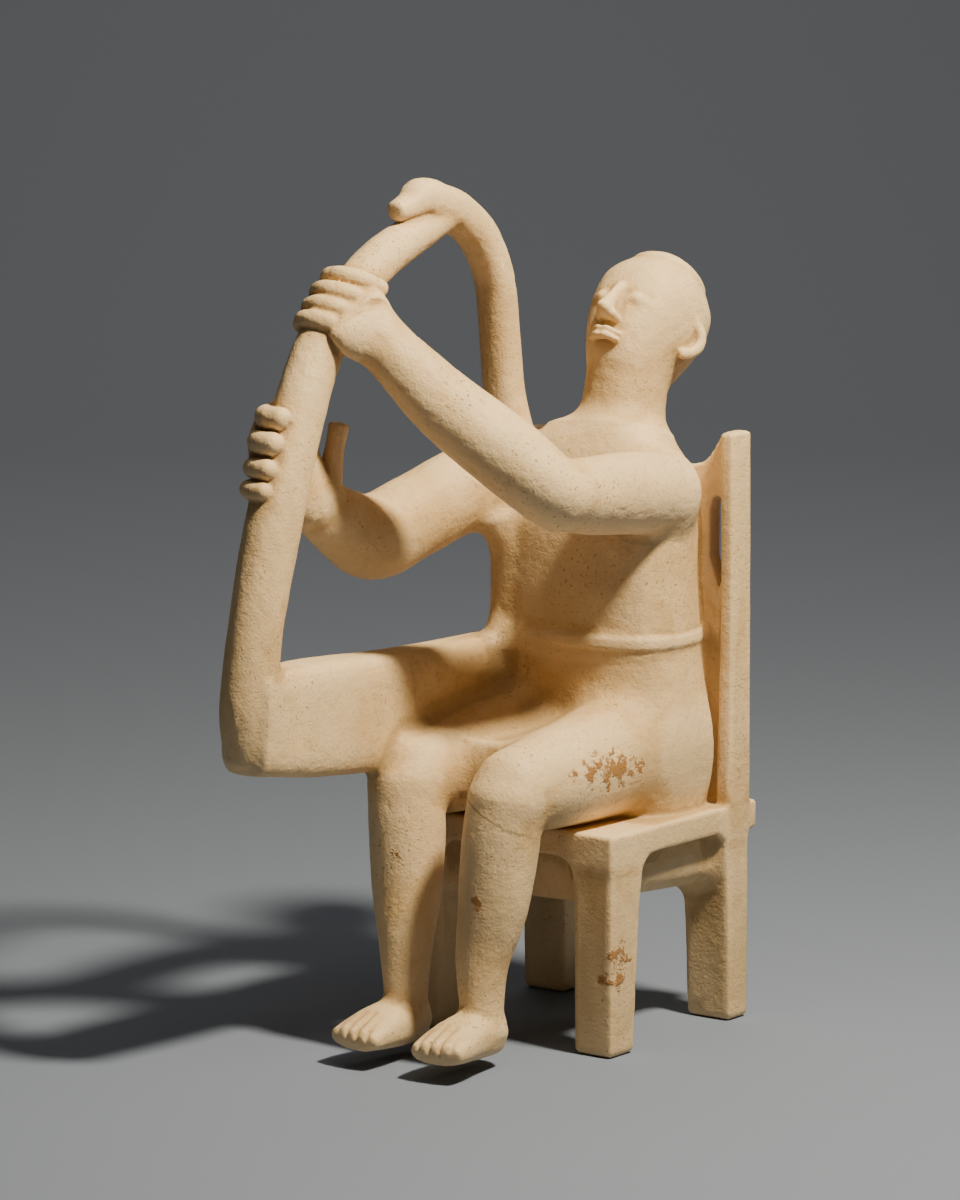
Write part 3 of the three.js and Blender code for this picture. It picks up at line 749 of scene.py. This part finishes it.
def weathering():
    """Geometry nodes that wear a skin: broad waves left by hand polishing, and shallow dents."""
    tree = bpy.data.node_groups.new("weathered_skin", "GeometryNodeTree")
    tree.is_modifier = True

    def socket(name, kind, way="INPUT"):
        return tree.interface.new_socket(name, in_out=way, socket_type=kind)

    socket("Skin", "NodeSocketGeometry")
    for name in ("Wave Height", "Wave Scale", "Dent Depth", "Dent Scale", "Seed"):
        socket(name, "NodeSocketFloat")
    socket("Material", "NodeSocketMaterial")
    socket("Skin", "NodeSocketGeometry", "OUTPUT")

    def node(kind, inputs=None, **settings):
        made = tree.nodes.new(kind)
        for name, value in settings.items():
            setattr(made, name, value)
        for name, value in (inputs or {}).items():
            if isinstance(value, bpy.types.NodeSocket):
                tree.links.new(value, made.inputs[name])
            else:
                made.inputs[name].default_value = value
        return made

    given = node("NodeGroupInput").outputs

    def maths(operation, *values):
        return node("ShaderNodeMath", dict(enumerate(values)), operation=operation).outputs[0]

    def noise(scale, detail):
        inputs = {"W": given["Seed"], "Scale": scale, "Detail": detail}
        return node("ShaderNodeTexNoise", inputs, noise_dimensions="4D").outputs[0]

    waves = maths("MULTIPLY", maths("SUBTRACT", noise(given["Wave Scale"], 3.0), 0.5), given["Wave Height"])
    sunk = maths("MAXIMUM", maths("SUBTRACT", noise(given["Dent Scale"], 2.0), 0.56), 0.0)
    dents = maths("MULTIPLY", sunk, given["Dent Depth"])
    height = maths("SUBTRACT", waves, dents)
    normal = node("GeometryNodeInputNormal").outputs[0]
    offset = node("ShaderNodeVectorMath", {0: normal, "Scale": height}, operation="SCALE").outputs[0]
    worn = node("GeometryNodeSetPosition", {"Geometry": given["Skin"], "Offset": offset}).outputs[0]
    whole = node("GeometryNodeRealizeInstances", {"Geometry": worn}).outputs[0]
    dressed = node("GeometryNodeSetMaterial", {"Geometry": whole, "Material": given["Material"]}).outputs[0]
    tree.links.new(dressed, node("NodeGroupOutput").inputs["Skin"])
    return tree


def set_inputs(modifier, values):
    for item in modifier.node_group.interface.items_tree:
        if item.in_out == "INPUT" and item.name in values:
            modifier[item.identifier] = values[item.name]


def store_hollows(mesh):
    """Keeps, at each point, how hollow the skin is there: above 0 in a crease and below 0 on an edge."""
    count = len(mesh.vertices)
    places = np.empty(count * 3, np.float32)
    mesh.vertices.foreach_get("co", places)
    normals = np.empty(count * 3, np.float32)
    mesh.vertex_normals.foreach_get("vector", normals)
    ends = np.empty(len(mesh.edges) * 2, np.int32)
    mesh.edges.foreach_get("vertices", ends)
    places, normals, ends = places.reshape(-1, 3), normals.reshape(-1, 3), ends.reshape(-1, 2)
    near = np.concatenate([ends, ends[:, ::-1]])
    share = np.maximum(np.bincount(near[:, 0], minlength=count), 1)

    def relaxed(values, times):
        for _ in range(times):
            columns = [np.bincount(near[:, 0], weights=values[near[:, 1], axis], minlength=count) / share
                       for axis in range(values.shape[1])]
            values = np.stack(columns, 1)
        return values

    rise = ((relaxed(places.astype(float), 14) - places) * normals).sum(1, keepdims=True) * 1000
    hollow = np.clip(relaxed(rise, 3)[:, 0] * 3, -1, 1)
    kept = mesh.attributes.new(HOLLOW, "FLOAT", "POINT")
    kept.data.foreach_set("value", hollow.astype(np.float32))


# ---- the stone as a piece ------------------------------------------------------------------------

BOX_MARGIN = 2e-5  # metres that the skin keeps inside the CAD model's box


def finished_stone():
    mesh = to_mesh(carve(), "player_stone")
    piece = bpy.data.objects.new("player_stone", mesh)
    bpy.context.scene.collection.objects.link(piece)
    triangles = sum(len(p.vertices) - 2 for p in mesh.polygons)
    if triangles > MOST_TRIANGLES:
        thin = piece.modifiers.new("thin", "DECIMATE")
        thin.ratio = MOST_TRIANGLES / triangles
    worn = piece.modifiers.new("worn", "NODES")
    worn.node_group = weathering()
    set_inputs(worn, {"Wave Height": 0.0006, "Wave Scale": 75.0, "Dent Depth": 0.0016, "Dent Scale": 240.0,
                      "Seed": 7.0, "Material": marble()})
    settled = bpy.data.meshes.new_from_object(piece.evaluated_get(bpy.context.evaluated_depsgraph_get()))
    piece.modifiers.clear()
    piece.data = settled
    low, high = (np.array(corner) for corner in CAD_BOX)
    places = np.empty(len(settled.vertices) * 3, np.float32)
    settled.vertices.foreach_get("co", places)
    places = np.clip(places.reshape(-1, 3), low + BOX_MARGIN, high - BOX_MARGIN).astype(np.float32)
    settled.vertices.foreach_set("co", places.ravel())
    settled.shade_smooth()
    settled.update()
    store_hollows(settled)
    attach(piece, "root")
    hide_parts(PLAYER)


# ---- studio --------------------------------------------------------------------------------------

VIEW_TURN = 37.18  # degrees from straight in front towards the player's left
VIEW_RISE = 8.769
VIEW_DISTANCE = 1.7589
LENS = 157.2


def direction_of(turn, rise):
    turn, rise = math.radians(turn), math.radians(rise)
    return Vector((math.sin(turn) * math.cos(rise), -math.cos(turn) * math.cos(rise), math.sin(rise)))


def look_at(thing, place, target):
    turn = (Vector(target) - Vector(place)).to_track_quat("-Z", "Y")
    thing.matrix_world = Matrix.Translation(place) @ turn.to_matrix().to_4x4()


def set_camera():
    low, high = CAD_BOX
    middle = (low + high) / 2
    target = middle + Vector((0, -0.0064, 0.0059))
    data = bpy.data.cameras.new("view")
    data.lens, data.sensor_width = LENS, 36
    data.clip_end = 20
    camera = bpy.data.objects.new("view", data)
    bpy.context.scene.collection.objects.link(camera)
    look_at(camera, target + direction_of(VIEW_TURN, VIEW_RISE) * VIEW_DISTANCE, target)
    bpy.context.scene.camera = camera


def set_lamp(name, place, target, size, power, colour):
    data = bpy.data.lights.new(name, "AREA")
    data.shape, data.size, data.energy, data.color = "DISK", size, power, colour
    lamp = bpy.data.objects.new(name, data)
    bpy.context.scene.collection.objects.link(lamp)
    look_at(lamp, place, target)


def set_backdrop():
    """A wide sheet that is a floor under the stone and curves up far behind it."""
    start, radius = 1.6, 1.2  # where the sheet begins to rise, and the radius of its curve
    turns = np.radians(np.linspace(6, 90, 15))
    profile = [(-3.0, 0.0), (start, 0.0)]
    profile += [(start + radius * math.sin(a), radius - radius * math.cos(a)) for a in turns]
    profile.append((start + radius, 5.0))
    back = -direction_of(VIEW_TURN, 0)
    across = Vector((-back.y, back.x, 0))
    points = [back * far + Vector((0, 0, up)) + across * wide for far, up in profile for wide in (-5, 5)]
    faces = [(2 * i, 2 * i + 1, 2 * i + 3, 2 * i + 2) for i in range(len(profile) - 1)]
    mesh = bpy.data.meshes.new("backdrop")
    mesh.from_pydata([tuple(p) for p in points], [], faces)
    mesh.shade_smooth()
    mesh.materials.append(backdrop_paper())
    sheet = bpy.data.objects.new("backdrop", mesh)
    bpy.context.scene.collection.objects.link(sheet)


def set_studio():
    set_backdrop()
    stone = Vector((0, 0, 0.14))
    back = -direction_of(VIEW_TURN, 0)
    set_lamp("key", stone + direction_of(88, 58) * 0.8, stone, 0.1, 15.5, (1.0, 0.87, 0.64))
    set_lamp("fill", stone + direction_of(-15, 22) * 2.2, stone, 1.2, 0.9, (1.0, 0.92, 0.78))
    set_lamp("room", stone + direction_of(50, 72) * 2.6, stone, 0.9, 5.0, (1.0, 0.94, 0.84))
    set_lamp("backdrop", back * 1.3 + Vector((0, 0, 1.7)), back * 2.3 + Vector((0, 0, 0.1)), 1.5, 13,
             (1.0, 0.86, 0.66))
    world = bpy.data.worlds.new("studio")
    world.use_nodes = True
    world.node_tree.nodes["Background"].inputs["Color"].default_value = (0.92, 0.96, 1.0, 1)
    world.node_tree.nodes["Background"].inputs["Strength"].default_value = 0.02
    bpy.context.scene.world = world


set_camera()
set_studio()
finished_stone()
